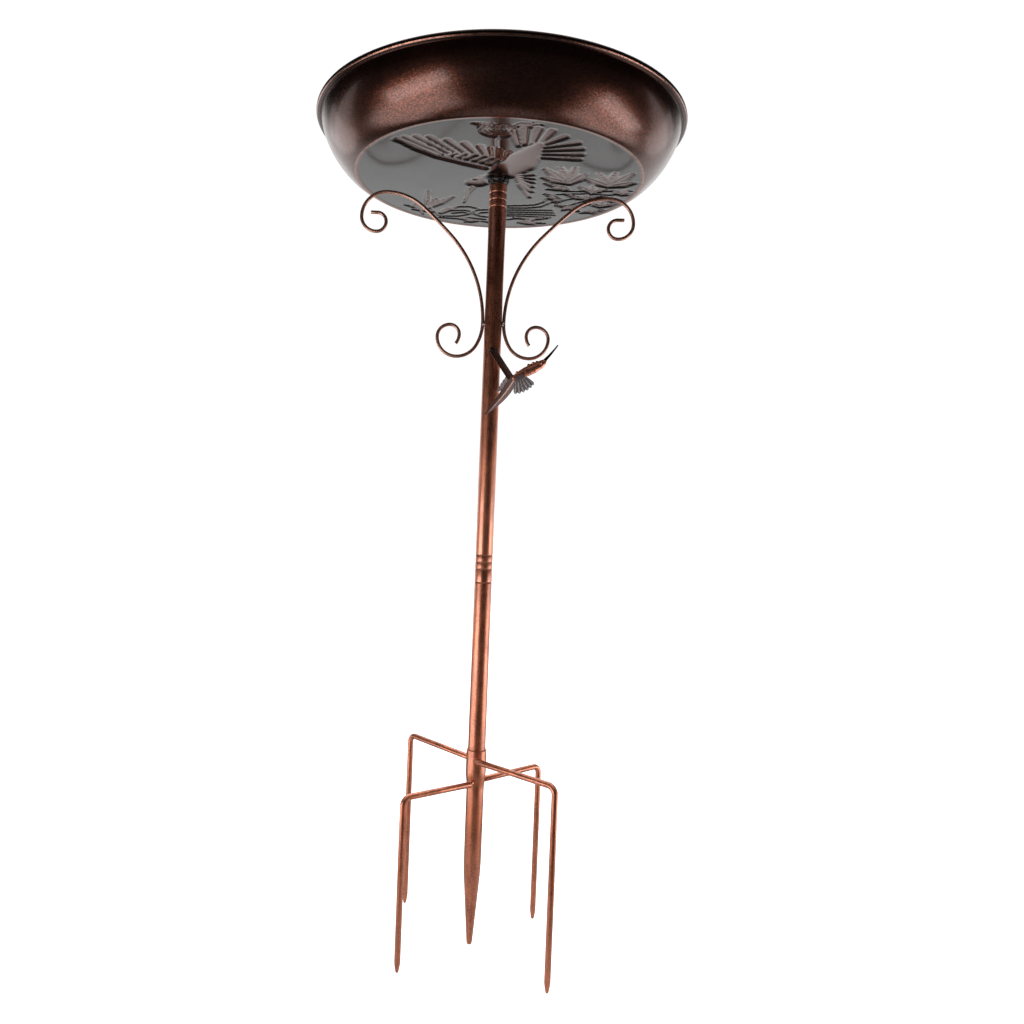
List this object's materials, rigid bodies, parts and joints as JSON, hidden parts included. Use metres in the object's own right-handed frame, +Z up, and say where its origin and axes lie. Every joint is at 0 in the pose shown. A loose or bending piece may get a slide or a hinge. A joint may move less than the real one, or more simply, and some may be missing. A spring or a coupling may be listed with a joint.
{
  "type": "stake bird bath",
  "caption": "Shallow round bowl that screws onto a two-part tube pole with wire scrolls and a small bird, slotted into a ground spike with prongs.",
  "frame": {"origin": "the pole's axis in the plane of the spike's and the prongs' tips", "axes": "+Z up along the pole, -Y to the front where the bird hangs, +X to the right seen from the front"},
  "size_m": [0.33, 0.33, 0.7484],
  "materials": {
    "bowl_copper": "antique copper brushed over dark bronze, satin",
    "pole_copper": "antique copper with dark mottling, satin",
    "stake_copper": "brighter antique copper with dark mottling, satin",
    "wire_copper": "antique copper wire, satin",
    "bird_copper": "red copper with dark hollows, satin",
    "feather_pewter": "dark pewter grey, rubbed on the ridges",
    "blackened": "blackened steel, semi-gloss",
    "zinc_steel": "bright zinc plate"
  },
  "bodies": {
    "stake": {"spike_tube": "stake_copper", "prong_front_right": "stake_copper", "prong_back_left": "stake_copper", "prong_front_left": "stake_copper", "prong_back_right": "stake_copper", "prong_welds": "stake_copper"},
    "lower_pole": {"lower_tube": "stake_copper", "joint_plug": "zinc_steel", "joint_stud": "zinc_steel"},
    "joint_nut": {"joint_insert": "zinc_steel"},
    "upper_pole": {"upper_tube": "pole_copper", "scroll_left": "wire_copper", "scroll_right": "wire_copper", "scroll_welds": "wire_copper", "bird_strap": "blackened", "strap_welds": "blackened", "bird_body": "bird_copper", "bird_beak": "blackened", "bird_tail": "feather_pewter", "bird_wing_left": "feather_pewter", "bird_wing_right": "feather_pewter"},
    "bowl_nut": {"bowl_insert": "zinc_steel"},
    "bowl": {"bowl_pan": "bowl_copper", "bowl_stud": "zinc_steel", "stud_weld": "blackened"}
  },
  "joints": [
    {"name": "pole_pull", "type": "slide", "parent": "stake", "child": "lower_pole", "axis": [0, 0, 1], "range_m": [0, 0.0234]},
    {"name": "pole_lift", "type": "slide", "parent": "lower_pole", "child": "joint_nut", "axis": [0, 0, 1], "range_m": [0, 0.01425]},
    {"name": "pole_turn", "type": "hinge", "parent": "joint_nut", "child": "upper_pole", "pos_m": [0, 0, 0.336], "axis": [0, 0, 1], "range_deg": [0, 3420]},
    {"name": "bowl_turn", "type": "hinge", "parent": "upper_pole", "child": "bowl_nut", "pos_m": [0, 0, 0.69], "axis": [0, 0, 1], "range_deg": [0, 3420]},
    {"name": "bowl_lift", "type": "slide", "parent": "bowl_nut", "child": "bowl", "axis": [0, 0, 1], "range_m": [0, 0.01425]}
  ],
  "couplings": [
    {"joint": "pole_lift", "follows": "pole_turn", "m_per_rad": 0.00023873},
    {"joint": "bowl_lift", "follows": "bowl_turn", "m_per_rad": 0.00023873}
  ]
}
